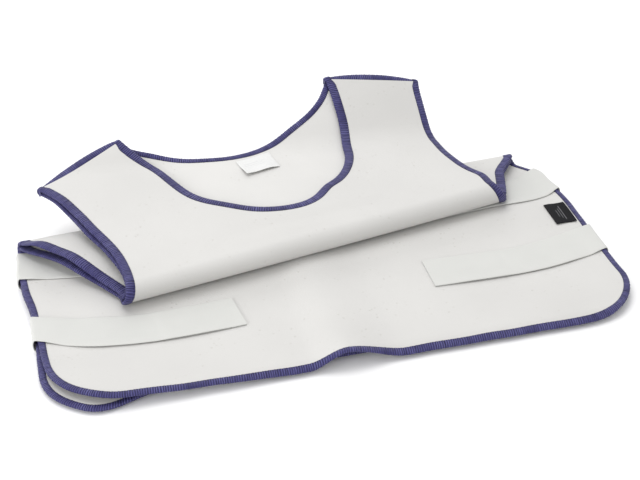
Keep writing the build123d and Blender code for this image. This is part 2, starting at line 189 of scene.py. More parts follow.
def lift(c, s, panel):
    """How far the cloth stands off the flat: the crease in the hem and the sprung end of the waist."""
    peak = -20.0 + 0.04 * s
    left = np.clip((c - peak + 38) / 38.0, 0, 1)
    right = np.clip((peak + 60 - c) / 60.0, 0, 1)
    crease = np.minimum(smooth(left), smooth(right))
    fade = 0.72 * np.exp(-s / 45.0) + 0.28 * (1 - smooth((s - 150) / 110.0))
    raised = (11.5 if panel == "front" else 1.0) * crease * fade
    skirt = 1 - smooth((s - 200) / 60)
    raised = raised + 0.5 * np.sin(c / 47.0 + 0.6) * np.sin(s / 61.0) * skirt
    raised = np.maximum(raised, -0.4)
    if panel == "front":
        raised = raised - 3.8 * (1 - smooth(s / 14.0)) * (1 - crease) * (1 - left_of(c, 70, 90))
        raised = raised + 4.6 * left_of(c, 150, 110) * (1 - smooth((s - 10) / 85.0))
    # the skirt is pressed up towards the roll that lies over it
    under = smooth((s - 148 - 0.124 * c) / 34.0) * (1 - smooth((s - 262) / 22.0))
    raised = raised + 2.9 * under * (1 - right_of(np.abs(c), 215, 60))
    end = left_of(c, 150, 110)
    raised = raised + 7.5 * end * hump(s, 344, 34) * (1.5 if panel == "back" else 0.95)
    return raised + (7.5 if panel == "back" else 2.0) * end * hump(s, 307, 17)


def folded(c, s, level, panel):
    """Metres, in the row frame, for points of the flat garment."""
    c = np.asarray(c, float)
    s = np.asarray(s, float)
    level = np.asarray(level, float) + 0 * c
    w = level - FRONT_MID
    raised = lift(c, s, panel)
    across, up = stray(c, s, panel)
    beyond = (c * ACROSS2[0] + (s - FOLD2_AT) * ACROSS2[1]) > 0
    c = c + across
    s = s + up
    # past the roll
    t = c * ALONG2[0] + (s - FOLD2_AT) * ALONG2[1]
    d = c * ACROSS2[0] + (s - FOLD2_AT) * ACROSS2[1]
    if panel == "back":
        w = w - np.where(beyond, 1.2 * left_of(t, 60, 140) * smooth((d - 30) / 120.0)
                         * (1 - smooth((s - 590) / 45.0)), 0)
    reach, rise = chest_rise(t, np.maximum(d, 0), w)
    qc = np.where(beyond, t * ALONG2[0] - reach * ACROSS2[0], c)
    qs = np.where(beyond, FOLD2_AT + t * ALONG2[1] - reach * ACROSS2[1], s)
    # round fold 1
    d1 = qc * ACROSS1[0] + (qs - FOLD1_AT) * ACROSS1[1]
    flat = (d1 < 0) & ~beyond
    bend = (d1 >= 0) & (d1 <= BEND1) & ~beyond
    phi = np.where(flat, 0, np.where(bend, d1 / FOLD1_RADIUS, np.pi))
    foot_c = qc - d1 * ACROSS1[0]
    foot_s = qs - d1 * ACROSS1[1]
    back = np.where(bend, (FOLD1_RADIUS - w) * np.sin(phi), -(d1 - BEND1))
    x = np.where(flat, qc, foot_c + back * ACROSS1[0])
    y = np.where(flat, qs, foot_s + back * ACROSS1[1])
    z = np.where(bend, AXIS1_Z - (FOLD1_RADIUS - w) * np.cos(phi), 2 * AXIS1_Z - level)
    z = np.where(flat, level, z) + raised
    z = np.where(beyond, AXIS2_Z + rise, z)
    return (np.stack([x, y, z], -1) - ORIGIN) * MM


# ---------------------------------------------------------------- outline of the flat garment
def cubic(a, b, c, d, t):
    a, b, c, d = (np.array(p, float) for p in (a, b, c, d))
    t = t[:, None]
    return (1 - t) ** 3 * a + 3 * (1 - t) ** 2 * t * b + 3 * (1 - t) * t * t * c + t**3 * d


def armhole():
    """Right armhole, from the side to the shoulder tip."""
    low = CHEST_AT - ARMHOLE_START
    high = TIP_AT - CHEST_AT
    flare = TIP_HALF - CHEST_HALF
    start, chest, tip = (HEM_HALF, ARMHOLE_START), (CHEST_HALF, CHEST_AT), (TIP_HALF, TIP_AT)
    t = np.linspace(0, 1, 60)
    lower = cubic(start, (HEM_HALF - 2, ARMHOLE_START + low * 0.3), (CHEST_HALF, CHEST_AT - low * 0.3),
                  chest, t)
    upper = cubic(chest, (CHEST_HALF, CHEST_AT + high * 0.4),
                  (TIP_HALF - flare * 0.25, TIP_AT - high * 0.12), tip, t)
    return np.vstack([lower, upper[1:]])


def neckline(panel):
    """From the right neck point round to the left, slacker on one side than the other."""
    a = np.linspace(0, np.pi, 161)
    power = 2 / NECK_POWER[panel]
    x = NECK_HALF * np.sign(np.cos(a)) * np.abs(np.cos(a)) ** power
    drop = NECK_DROP[panel] * np.sin(a) ** power
    right = smooth(x / 60.0)
    left = smooth(-x / 60.0)
    if panel == "front":
        x = x - 5.5 * right * (1 - smooth((drop - 75) / 100.0))
        x = x + (15.5 * left * np.sin(np.pi / 2 * np.clip(drop / 60.0, 0, 1))
                 * (1 - smooth((drop - 62) / 75.0)))
        drop = drop - (4.5 * hump(x, 48.0, 30.0) + 3.2 * hump(x, 40.0, 14.0)) * smooth(drop / 100.0)
        drop = drop - 5.0 * hump(x, -82.0, 34.0) * smooth(drop / 30.0)
    else:
        x = x - (5.5 + 2.5 * smooth(drop / 12.0)) * right * (1 - smooth((drop - 36) / 22.0))
        x = x + 6.5 * left * hump(drop, 28.0, 18.0)
        drop = drop - 2.5 * hump(x, 62.0, 34.0) * smooth(drop / 20.0)
    return np.column_stack([x, NECK_AT - drop])


def lower_right():
    """Middle of the hem, round the corner and up the side."""
    a = np.linspace(0, np.pi / 2, 40)
    corner = np.column_stack([HEM_HALF - CORNER_R + CORNER_R * np.sin(a), CORNER_R - CORNER_R * np.cos(a)])
    return np.vstack([[(0.0, 0.0)], corner, [(HEM_HALF, ARMHOLE_START)]])


def mirrored(points):
    return points[::-1] * np.array([-1.0, 1.0])


def resample(points, step):
    gaps = np.hypot(*np.diff(points, axis=0).T)
    along = np.concatenate([[0], np.cumsum(gaps)])
    count = max(int(round(along[-1] / step)), 2)
    at = np.linspace(0, along[-1], count + 1)
    return np.column_stack([np.interp(at, along, points[:, k]) for k in (0, 1)]), at


def normals(points):
    """Unit vectors to the left of a run of points, into the cloth."""
    run = np.gradient(points, axis=0)
    run /= np.maximum(np.hypot(run[:, 0], run[:, 1]), 1e-9)[:, None]
    return np.column_stack([-run[:, 1], run[:, 0]])


def inset_outline(panel, inset):
    """The closed edge moved into the cloth, except along the shoulders."""
    right = np.vstack([lower_right(), armhole()[1:]])
    side = np.vstack([mirrored(right), right[1:]])
    side = resample(side, 4.0)[0]
    side = side + normals(side) * inset
    neck = resample(neckline(panel), 4.0)[0]
    neck = neck + normals(neck) * inset
    return np.vstack([side, neck])


def inside(points, outline):
    x, y = points[:, 0], points[:, 1]
    result = np.zeros(len(points), bool)
    ahead = np.roll(outline, -1, axis=0)
    for (x1, y1), (x2, y2) in zip(outline, ahead):
        crosses = (y1 > y) != (y2 > y)
        if not crosses.any():
            continue
        at = (x2 - x1) * (y - y1) / (y2 - y1 + 1e-12) + x1
        result ^= crosses & (x < at)
    return result


def nearest(points, outline):
    a = outline
    b = np.roll(outline, -1, axis=0)
    run = b - a
    length = np.maximum((run**2).sum(1), 1e-9)
    found = []
    for p in points:
        t = np.clip(((p - a) * run).sum(1) / length, 0, 1)
        q = a + run * t[:, None]
        found.append(q[((q - p) ** 2).sum(1).argmin()])
    return np.array(found)


# ---------------------------------------------------------------- mesh helpers
def deselect():
    if bpy.context.object and bpy.context.object.mode != "OBJECT":
        bpy.ops.object.mode_set(mode="OBJECT")
    bpy.ops.object.select_all(action="DESELECT")


def coords(obj):
    co = np.empty(len(obj.data.vertices) * 3)
    obj.data.vertices.foreach_get("co", co)
    return co.reshape(-1, 3)


def set_coords(obj, co):
    obj.data.vertices.foreach_set("co", np.asarray(co, float).ravel())
    obj.data.update()


def write_uv(obj, u, v):
    """A UV map, called pattern, from one pair of values for each vertex, in metres."""
    layer = obj.data.uv_layers.get("pattern") or obj.data.uv_layers.new(name="pattern")
    index = np.empty(len(obj.data.loops), int)
    obj.data.loops.foreach_get("vertex_index", index)
    layer.data.foreach_set("uv", np.column_stack([u[index], v[index]]).ravel())


def smooth_by_angle(obj, degrees=40):
    deselect()
    obj.select_set(True)
    bpy.context.view_layer.objects.active = obj
    bpy.ops.object.shade_smooth_by_angle(angle=math.radians(degrees))


def apply_modifiers(obj):
    deselect()
    obj.select_set(True)
    bpy.context.view_layer.objects.active = obj
    for modifier in list(obj.modifiers):
        bpy.ops.object.modifier_apply(modifier=modifier.name)


def laid_tube(name, rings, u, v):
    """A grid laid along a run of closed rings, its long edges merged and its ends filled."""
    rings = np.asarray(rings)
    count, size = rings.shape[:2]
    deselect()
    bpy.ops.mesh.primitive_grid_add(x_subdivisions=size, y_subdivisions=count - 1, size=2)
    obj = bpy.context.object
    obj.name = obj.data.name = name
    round_again = np.concatenate([rings, rings[:, :1]], axis=1)
    set_coords(obj, round_again.reshape(-1, 3))
    u = np.repeat(np.asarray(u)[:, None], size + 1, axis=1)
    v = np.asarray(v)
    v = np.concatenate([v, v[:, -1:]], axis=1)
    write_uv(obj, u.ravel(), v.ravel())
    bpy.ops.object.mode_set(mode="EDIT")
    bpy.ops.mesh.select_all(action="SELECT")
    bpy.ops.mesh.remove_doubles(threshold=2e-6)
    bpy.ops.mesh.select_mode(type="EDGE")
    bpy.ops.mesh.select_all(action="DESELECT")
    bpy.ops.mesh.select_non_manifold()
    bpy.ops.mesh.fill_holes(sides=0)
    bpy.ops.mesh.select_mode(type="VERT")
    bpy.ops.mesh.select_all(action="SELECT")
    bpy.ops.mesh.normals_make_consistent(inside=False)
    bpy.ops.object.mode_set(mode="OBJECT")
    return obj


# ---------------------------------------------------------------- cloth sheets
def section_rows(section):
    """Distances from a section's first edge to its last, closer together round the bends."""
    if section == "skirt":
        return np.concatenate([np.linspace(0, 270, 68), np.linspace(270, FOLD1_AT + BEND1, 28)[1:]])
    if section == "waist":
        return np.linspace(0, FOLD2_AT - FOLD1_AT - BEND1, 26)
    return np.concatenate([np.linspace(0, 60, 48), np.linspace(60, 190, 32)[1:],
                           np.linspace(190, 278, 36)[1:]])


def section_edge(section, c):
    """Where a section starts and ends up the cloth, at a distance across it."""
    fold1 = FOLD1_AT + c * math.tan(FOLD1_ANGLE) + BEND1 / math.cos(FOLD1_ANGLE)
    fold2 = FOLD2_AT + c * math.tan(FOLD2_ANGLE)
    return {"skirt": (0 * c - 2, fold1), "waist": (fold1, fold2), "chest": (fold2, 0 * c + 686.0)}[section]


def cloth_sheet(name, panel, section, low, high):
    """A flat grid cut to the outline, given its thickness and then folded."""
    rows = section_rows(section)
    columns = 132
    bpy.ops.mesh.primitive_grid_add(x_subdivisions=columns, y_subdivisions=len(rows) - 1, size=2)
    obj = bpy.context.object
    obj.name = obj.data.name = name
    co = coords(obj)
    c = co[:, 0] * (HEM_HALF + 4)
    row = np.rint((co[:, 1] + 1) / 2 * (len(rows) - 1)).astype(int)
    share = rows[row] / rows[-1]
    start, stop = section_edge(section, c)
    s = start + share * (stop - start)
    outline = inset_outline(panel, CLOTH_INSET)
    set_coords(obj, np.column_stack([c, s, 0 * c]))

    centres = np.array([f.center[:2] for f in obj.data.polygons])
    outside = ~inside(centres, outline)
    deselect()
    bpy.context.view_layer.objects.active = obj
    obj.select_set(True)
    bpy.ops.object.mode_set(mode="EDIT")
    bpy.ops.mesh.select_mode(type="FACE")
    bpy.ops.mesh.select_all(action="DESELECT")
    bpy.ops.object.mode_set(mode="OBJECT")
    obj.data.polygons.foreach_set("select", outside)
    bpy.ops.object.mode_set(mode="EDIT")
    bpy.ops.mesh.delete(type="FACE")
    bpy.ops.mesh.select_mode(type="VERT")
    bpy.ops.mesh.select_all(action="DESELECT")
    bpy.ops.mesh.select_non_manifold()
    bpy.ops.object.mode_set(mode="OBJECT")
    co = coords(obj)
    rim = np.empty(len(co), bool)
    obj.data.vertices.foreach_get("select", rim)
    faces_at = np.zeros(len(co), int)
    for face in obj.data.polygons:
        faces_at[list(face.vertices)] += 1
    first, last = section_edge(section, co[:, 0])
    at_first = (section != "skirt") & (np.abs(co[:, 1] - first) < 0.01)
    at_last = (section != "chest") & (np.abs(co[:, 1] - last) < 0.01)
    on_cut = at_first | at_last
    move = np.where(rim & ~(on_cut & (faces_at > 1)))[0]
    co[move, :2] = nearest(co[move, :2], outline)
    first, last = section_edge(section, co[:, 0])
    co[at_first, 1] = first[at_first]
    co[at_last, 1] = last[at_last]
    set_coords(obj, co)

    solid = obj.modifiers.new("thickness", "SOLIDIFY")
    solid.thickness = high - low
    solid.offset = 1.0
    apply_modifiers(obj)
    co = coords(obj)
    level = low + (co[:, 2] - co[:, 2].min())
    write_uv(obj, co[:, 0] * MM + 0.5, co[:, 1] * MM)
    set_coords(obj, folded(co[:, 0], co[:, 1], level, panel))
    smooth_by_angle(obj)
    return obj


# ---------------------------------------------------------------- materials
def new_material(name, base, roughness, sheen=0.0, specular=0.3):
    mat = bpy.data.materials.new(name)
    mat.use_nodes = True
    shader = mat.node_tree.nodes["Principled BSDF"]
    shader.inputs["Base Color"].default_value = (*base, 1)
    shader.inputs["Roughness"].default_value = roughness
    shader.inputs["Sheen Weight"].default_value = sheen
    shader.inputs["Specular IOR Level"].default_value = specular
    return mat, shader


class Nodes:
    """Short hand for the nodes of one material."""

    def __init__(self, mat):
        self.tree = mat.node_tree
        self.uv = self.tree.nodes.new("ShaderNodeUVMap")
        self.uv.uv_map = "pattern"

    def add(self, kind, **values):
        node = self.tree.nodes.new(kind)
        for key, value in values.items():
            if key in node.inputs:
                node.inputs[key].default_value = value
            else:
                setattr(node, key, value)
        return node

    def link(self, a, b):
        self.tree.links.new(a, b)

    def scaled(self, x, y, turn=0.0, move=(0, 0, 0)):
        node = self.add("ShaderNodeMapping")
        node.inputs["Scale"].default_value = (x, y, 1)
        node.inputs["Rotation"].default_value = (0, 0, turn)
        node.inputs["Location"].default_value = move
        self.link(self.uv.outputs[0], node.inputs[0])
        return node.outputs[0]

    def math(self, operation, a, b=None, clamp=False):
        node = self.add("ShaderNodeMath", operation=operation, use_clamp=clamp)
        for socket, value in zip(node.inputs, (a, b)):
            if value is None:
                continue
            if isinstance(value, (int, float)):
                socket.default_value = value
            else:
                self.link(value, socket)
        return node.outputs[0]

    def ramp(self, value, stops):
        node = self.add("ShaderNodeValToRGB")
        ramp = node.color_ramp
        while len(ramp.elements) < len(stops):
            ramp.elements.new(0.5)
        for element, (at, colour) in zip(ramp.elements, stops):
            element.position = at
            element.color = (*colour, 1)
        self.link(value, node.inputs[0])
        return node.outputs[0]

    def bump(self, height, strength, distance, before=None):
        node = self.add("ShaderNodeBump", Strength=strength, Distance=distance)
        self.link(height, node.inputs["Height"])
        if before is not None:
            self.link(before, node.inputs["Normal"])
        return node.outputs[0]


def cloth_material(name, base, dimple_depth, dimple_shade, weave=0.25):
    """Coated cloth: fine weave, scattered quilting dimples with painted shade in their pits, and a slow
    change of tone.
    """
    mat, shader = new_material(name, base, 0.62, sheen=0.12, specular=0.28)
    n = Nodes(mat)
    cells = n.add("ShaderNodeTexVoronoi", Scale=1.0, Randomness=0.75)
    n.link(n.scaled(150, 150), cells.inputs["Vector"])
    dimple = n.math("SUBTRACT", 1.0, n.math("MULTIPLY", cells.outputs["Distance"], 4.2), clamp=True)
    patchy = n.add("ShaderNodeTexNoise", Scale=1.0, Detail=2.0)
    n.link(n.scaled(24, 24), patchy.inputs["Vector"])
    presence = n.math("MULTIPLY", n.math("SUBTRACT", patchy.outputs[0], 0.42), 5.0, clamp=True)
    dimple = n.math("MULTIPLY", dimple, presence)
    slow = n.add("ShaderNodeTexNoise", Scale=1.0, Detail=3.0)
    n.link(n.scaled(9, 9), slow.inputs["Vector"])
    warp = n.add("ShaderNodeTexWave", Scale=1.0, Distortion=0.4)
    n.link(n.scaled(480, 480), warp.inputs["Vector"])
    weft = n.add("ShaderNodeTexWave", Scale=1.0, Distortion=0.4, bands_direction="Y")
    n.link(n.scaled(480, 480), weft.inputs["Vector"])
    threads = n.math("MULTIPLY", warp.outputs[1], weft.outputs[1])
    tone = n.ramp(slow.outputs[0],
                  [(0.3, [x * 0.965 for x in base]), (0.7, [min(x * 1.02, 1) for x in base])])
    # painted shade: the quilting dimples are darkened towards a dull yellow-grey, most at their centres
    mix = n.add("ShaderNodeMix", data_type="RGBA", blend_type="MULTIPLY")
    n.link(n.math("MULTIPLY", dimple, dimple_shade), mix.inputs["Factor"])
    n.link(tone, mix.inputs[6])
    mix.inputs[7].default_value = (0.62, 0.60, 0.50, 1)
    n.link(mix.outputs[2], shader.inputs["Base Color"])
    fine = n.bump(threads, weave, 0.0002)
    pits = n.bump(n.math("SUBTRACT", 1.0, dimple), dimple_depth, 0.0008, fine)
    wavy = n.bump(slow.outputs[0], 0.3, 0.004, pits)
    n.link(wavy, shader.inputs["Normal"])
    return mat


def binding_material(name, base):
    """Gathered binding tape: close cross ribs with painted shade in their valleys and painted highlights on
    their crests, and a row of stitches inside.
    """
    mat, shader = new_material(name, base, 0.5, sheen=0.05, specular=0.3)
    n = Nodes(mat)
    wander = n.add("ShaderNodeTexNoise", Scale=1.0, Detail=2.0)
    n.link(n.scaled(150, 60), wander.inputs["Vector"])
    rib = n.add("ShaderNodeTexWave", Scale=1.0, Distortion=3.0, Detail=1.5)
    n.link(n.scaled(135, 36, turn=0.12), rib.inputs["Vector"])
    patchy = n.add("ShaderNodeTexNoise", Scale=1.0, Detail=1.0)
    n.link(n.scaled(32, 32), patchy.inputs["Vector"])
    thread = n.add("ShaderNodeTexWave", Scale=1.0, Distortion=0.3, bands_direction="Y")
    n.link(n.scaled(700, 700), thread.inputs["Vector"])
    split = n.add("ShaderNodeSeparateXYZ")
    n.link(n.uv.outputs[0], split.inputs[0])
    inward = n.math("ABSOLUTE", n.math("SUBTRACT", split.outputs[1], 0.5))
    row = n.math("LESS_THAN", n.math("ABSOLUTE", n.math("SUBTRACT", inward, 0.0060)), 0.0004)
    dash = n.math("LESS_THAN", n.math("FRACT", n.math("MULTIPLY", split.outputs[0], 330.0)), 0.62)
    stitch = n.math("MULTIPLY", row, dash)
    seam = n.math("GREATER_THAN", inward, 0.0070)
    depth = n.math("ADD", 0.30, n.math("MULTIPLY", n.math("SUBTRACT", patchy.outputs[0], 0.34), 2.4),
                   clamp=True)
    ribbed = n.math("MULTIPLY", rib.outputs[1], depth)
    height = n.math("ADD", n.math("MULTIPLY", ribbed, 0.6), n.math("MULTIPLY", wander.outputs[0], 0.45))
    # painted shade in the rib valleys and painted highlights on the rib crests, from the rib height
    rib_valley_shade = [base[0] * 0.30, base[1] * 0.28, base[2] * 0.36]
    rib_crest_highlight = [base[0] * 3.2, base[1] * 3.4, base[2] * 2.2]
    tone = n.ramp(height, [(0.12, rib_valley_shade), (0.40, base), (0.85, rib_crest_highlight)])
    # the stitch row is darker thread; past 7 mm in, the tape's inner edge is darkened with painted shade
    # where it steps down onto the cloth
    mix = n.add("ShaderNodeMix", data_type="RGBA", blend_type="MULTIPLY")
    n.link(n.math("MAXIMUM", n.math("MULTIPLY", stitch, 0.5), n.math("MULTIPLY", seam, 0.75)),
           mix.inputs["Factor"])
    n.link(tone, mix.inputs[6])
    mix.inputs[7].default_value = (0.28, 0.28, 0.34, 1)
    n.link(mix.outputs[2], shader.inputs["Base Color"])
    fine = n.bump(thread.outputs[1], 0.2, 0.0002)
    ribs = n.bump(height, 1.0, 0.002, fine)
    n.link(n.bump(n.math("SUBTRACT", 1.0, stitch), 0.5, 0.0004, ribs), shader.inputs["Normal"])
    return mat


def webbing_material(name, base):
    """Soft woven strap: fine ribs along it and a brushed face."""
    mat, shader = new_material(name, base, 0.8, sheen=0.3, specular=0.15)
    n = Nodes(mat)
    rib = n.add("ShaderNodeTexWave", Scale=1.0, Distortion=0.6, bands_direction="Y")
    n.link(n.scaled(300, 300), rib.inputs["Vector"])
    fuzz = n.add("ShaderNodeTexNoise", Scale=1.0, Detail=4.0)
    n.link(n.scaled(700, 420), fuzz.inputs["Vector"])
    slow = n.add("ShaderNodeTexNoise", Scale=1.0, Detail=2.0)
    n.link(n.scaled(20, 20), slow.inputs["Vector"])
    tone = n.ramp(slow.outputs[0], [(0.3, [x * 0.96 for x in base]), (0.7, base)])
    n.link(tone, shader.inputs["Base Color"])
    height = n.math("ADD", n.math("MULTIPLY", rib.outputs[1], 0.3), n.math("MULTIPLY", fuzz.outputs[0], 0.7))
    n.link(n.bump(height, 0.35, 0.0004), shader.inputs["Normal"])
    return mat


def tag_material(name, base, mark, marks):
    """A woven label: fine satin threads, a thin border line and, where asked, short woven bars."""
    mat, shader = new_material(name, base, 0.7, sheen=0.0, specular=0.15)
    n = Nodes(mat)
    weft = n.add("ShaderNodeTexWave", Scale=1.0, Distortion=0.5)
    n.link(n.scaled(560, 560), weft.inputs["Vector"])
    warp = n.add("ShaderNodeTexWave", Scale=1.0, Distortion=0.5, bands_direction="Y")
    n.link(n.scaled(420, 420), warp.inputs["Vector"])
    threads = n.math("MULTIPLY", weft.outputs[1], warp.outputs[1])
    n.link(n.bump(threads, 0.4, 0.0003), shader.inputs["Normal"])
    split = n.add("ShaderNodeSeparateXYZ")
    n.link(n.uv.outputs[0], split.inputs[0])
    colour = n.ramp(threads, [(0.1, [x * 0.8 for x in base]), (0.8, [min(x * 1.15, 1) for x in base])])
    for u0, u1, v0, v1 in marks:
        in_u = n.math("MULTIPLY", n.math("GREATER_THAN", split.outputs[0], u0),
                      n.math("LESS_THAN", split.outputs[0], u1))
        in_v = n.math("MULTIPLY", n.math("GREATER_THAN", split.outputs[1], v0),
                      n.math("LESS_THAN", split.outputs[1], v1))
        mix = n.add("ShaderNodeMix", data_type="RGBA")
        n.link(n.math("MULTIPLY", in_u, in_v), mix.inputs["Factor"])
        n.link(colour, mix.inputs[6])
        mix.inputs[7].default_value = (*mark, 1)
        colour = mix.outputs[2]
    n.link(colour, shader.inputs["Base Color"])
    return mat


COVER = cloth_material("cover cloth", (0.585, 0.577, 0.561), 0.5, 0.30)
LINING = cloth_material("lining cloth", (0.625, 0.617, 0.600), 0.5, 0.28)
BINDING = binding_material("edge binding", (0.041, 0.037, 0.145))
WEBBING = webbing_material("strap webbing", (0.580, 0.582, 0.560))
HOOKS = webbing_material("hook tape", (0.565, 0.565, 0.55))
TAG_CLOTH = tag_material("woven tag", (0.006, 0.006, 0.008), (0.16, 0.16, 0.17),
                         [(0.0090, 0.0098, 0.486, 0.514), (0.0118, 0.0124, 0.489, 0.509),
                          (0.0150, 0.0156, 0.492, 0.506)])
CARE_CLOTH = tag_material("care tag satin", (0.80, 0.80, 0.79), (0.55, 0.55, 0.56),
                          [(0.010, 0.0106, 0.484, 0.512), (0.014, 0.0146, 0.484, 0.506),
                           (0.018, 0.0186, 0.484, 0.509)])


def dress(obj, mat):
    obj.data.materials.clear()
    obj.data.materials.append(mat)
    return obj


def bend_fold1(obj):
    """Bakes the sheet's placement into its mesh. The cloth turns between the skirt and the waist over the
    height between its two runs, as folded() has already laid it.
    """
    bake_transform(obj)


def bend_roll(obj):
    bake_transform(obj)


def settle(obj, section):
    if section == "skirt":
        bend_fold1(obj)
    elif section == "waist":
        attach(obj, "waist")
    else:
        bend_roll(obj)
    return obj


for panel in ("front", "back"):
    level = LEVELS[panel]
    cover = (level["split"], level["high"]) if panel == "front" else (level["low"], level["split"])
    body = (level["low"], level["split"]) if panel == "front" else (level["split"], level["high"])
    for section in ("skirt", "waist", "chest"):
        outer = cloth_sheet(f"{panel}_{section}_cover", panel, section, *cover)
        dress(outer, COVER)
        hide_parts(f"{section}_{panel}_cover")
        settle(outer, section)
        inner = cloth_sheet(f"{panel}_{section}_lining", panel, section, *body)
        dress(inner, LINING)
        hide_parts(f"{section}_{panel}_core", f"{section}_{panel}_lining")
        settle(inner, section)


# ---------------------------------------------------------------- binding round the edges
def tape_section(panel):
    """Cross-section of the binding: distance in from the edge and level, once round."""
    low, high = LEVELS[panel]["low"], LEVELS[panel]["high"]
    mid = (low + high) / 2
    half = (high - low) / 2
    top = [(7.7, half - 0.3), (7.6, half + 0.35), (6.8, half + 0.65), (5.2, half + 0.8), (3.2, half + 0.75),
           (1.6, half + 0.45), (0.5, half - 0.1), (0.0, 0.6)]
    points = [(o, mid + h) for o, h in top] + [(o, mid - h) for o, h in reversed(top)]
    return np.array(points)


def puckers(at, around, seed):
    """Small uneven gathers across the tape."""
    a = 0.5 * np.sin(at * 2 * np.pi / 3.1 + 1.3 * np.sin(at / 11.0 + seed) + around * 0.5)
    b = 0.35 * np.sin(at * 2 * np.pi / 5.3 + seed * 2.1 + around)
    c = 0.4 * np.sin(at / 23.0 + seed) * np.sin(at / 7.7 + 2 * seed)
    return a + b + c


WRAP_MID = (FRONT_MID + (LEVELS["back"]["low"] + LEVELS["back"]["high"]) / 2) / 2
WRAP_REACH = FRONT_MID - WRAP_MID
WRAP_STEPS = 9


def tape(name, panel, points, seed, wide, wraps=(), step=0.85):
    """Binding along a run of the edge. Where it wraps, it turns over the shoulder to the other panel."""
    path, at = resample(points, step)
    into = normals(path)
    section = tape_section(panel)
    mid = LEVELS[panel]["low"] / 2 + LEVELS[panel]["high"] / 2
    around = np.linspace(0, 1, len(section))
    out = section[:, 1] - mid
    rim = np.clip(1 - section[:, 0] / 7.6, 0, 1)
    sides = section[:, 0] * np.sign(out)
    rings, u = [], []

    def ring(place, inward, a, turn=0.0, ahead=None):
        gather = puckers(a, around * 3.0, seed)
        to_end = min(a if "start" in wraps else 99.0, at[-1] - a if "end" in wraps else 99.0)
        slim = 1 - 0.22 * float(smooth((9.0 - to_end) / 9.0))
        thick = out * (1 + 0.12 * gather) * slim
        inset = (section[:, 0] * wide + 0.4 * gather * rim + 0.25 * math.sin(a / 9.0 + seed)) * slim
        flat = place + inward * inset[:, None]
        level = mid + thick
        if ahead is not None:
            flat = flat + ahead * ((WRAP_REACH + thick) * math.sin(turn))[:, None]
            level = WRAP_MID + (WRAP_REACH + thick) * math.cos(turn)
        rings.append(np.column_stack([flat, level]))
        u.append(a)

    turns = np.linspace(0, math.pi, WRAP_STEPS + 1)[1:]
    reach = WRAP_REACH * math.pi / WRAP_STEPS
    if "start" in wraps:
        back = (path[0] - path[1]) / np.hypot(*(path[0] - path[1]))
        for k in range(WRAP_STEPS, 0, -1):
            ring(path[0], into[0], -k * reach, turns[k - 1], back)
    for place, inward, a in zip(path, into, at):
        ring(place, inward, a)
    if "end" in wraps:
        on = (path[-1] - path[-2]) / np.hypot(*(path[-1] - path[-2]))
        for k in range(1, WRAP_STEPS + 1):
            ring(path[-1], into[-1], at[-1] + k * reach, turns[k - 1], on)
    rings = np.array(rings)
    flat = rings.reshape(-1, 3)
    solid = folded(flat[:, 0], flat[:, 1], flat[:, 2], panel).reshape(rings.shape)
    obj = laid_tube(name, solid, np.array(u) * MM, np.tile(sides * MM + 0.5, (len(u), 1)))
    smooth_by_angle(obj, 60)
    return dress(obj, BINDING)


def cut_path(points, section):
    """The part of a run of edge points that lies in a section, cut square to the fold."""
    fine = resample(points, 0.2)[0]
    start, stop = section_edge(section, fine[:, 0])
    return fine[(fine[:, 1] >= start - 0.001) & (fine[:, 1] <= stop + 0.001)]


right_side = np.vstack([lower_right(), armhole()[1:]])
whole_edge = np.vstack([mirrored(right_side), right_side[1:]])
for number, panel in enumerate(("front", "back")):
    obj = tape(f"{panel}_hem_binding", panel, cut_path(whole_edge, "skirt"), 1.0 + number, 0.88)
    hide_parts(f"skirt_{panel}_hem_binding")
    settle(obj, "skirt")
    for side, run in (("right", right_side), ("left", mirrored(right_side))):
        obj = tape(f"{panel}_side_binding_{side}", panel, cut_path(run, "waist"), 3.0 + number, 1.4)
        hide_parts(f"waist_{panel}_side_binding_{side}")
        settle(obj, "waist")
        tip = {"right": "end", "left": "start"}[side] if panel == "front" else None
        obj = tape(f"{panel}_armhole_binding_{side}", panel, cut_path(run, "chest"), 5.0 + number, 1.15,
                   (tip,))
        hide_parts(f"chest_{panel}_armhole_binding_{side}")
        settle(obj, "chest")
    ends = ("start", "end") if panel == "front" else ()
    obj = tape(f"{panel}_neck_binding", panel, neckline(panel), 7.0 + number,
               {"front": 1.28, "back": 0.9}[panel], ends)
    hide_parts(f"chest_{panel}_neck_binding")
    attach(obj, "chest")


# ---------------------------------------------------------------- shoulder seams
SEAM_POINTS = 12


def shoulder_seam(side):
    """The bound seam that joins the panels, standing proud along the shoulder."""
    ends = neckline("front")
    tip = np.array([TIP_HALF if side == "right" else -TIP_HALF, TIP_AT])
    neck = ends[0] if side == "right" else ends[-1]
    start, stop = (tip, neck) if side == "right" else (neck, tip)
    path, at = resample(np.array([start, stop]), 0.9)
    run = (stop - start) / np.hypot(*(stop - start))
    out = np.array([run[1], -run[0]])
    low, high = LEVELS["back"]["low"] - 1.0, LEVELS["front"]["low"] + 1.6
    mid, half = (low + high) / 2, (high - low) / 2
    turn = np.linspace(0, 2 * math.pi, SEAM_POINTS, endpoint=False)
    rings = []
    for p, a in zip(path, at):
        wide = 1.5 + 9.0 * math.sin(math.pi * np.clip(a / at[-1], 0, 1)) ** 0.5
        gather = puckers(a, 0.0, 9.0)
        reach = -3.0 + (wide + 3.0 + 0.2 * gather) * (0.5 - 0.5 * np.cos(turn))
        level = mid + half * (1 + 0.06 * gather) * np.sin(turn)
        rings.append(np.column_stack([p + out * reach[:, None], level]))
    rings = np.array(rings)
    flat = rings.reshape(-1, 3)
    solid = folded(flat[:, 0], flat[:, 1], flat[:, 2], "front").reshape(rings.shape)
    round_it = np.tile((np.abs(turn - math.pi) * 3.0) * MM + 0.5, (len(at), 1))
    obj = laid_tube(f"shoulder_seam_{side}_tape", solid, at * MM, round_it)
    smooth_by_angle(obj, 60)
    dress(obj, BINDING)
    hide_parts(f"shoulder_seam_{side}")
    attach(obj, "chest")


for side in ("left", "right"):
    shoulder_seam(side)

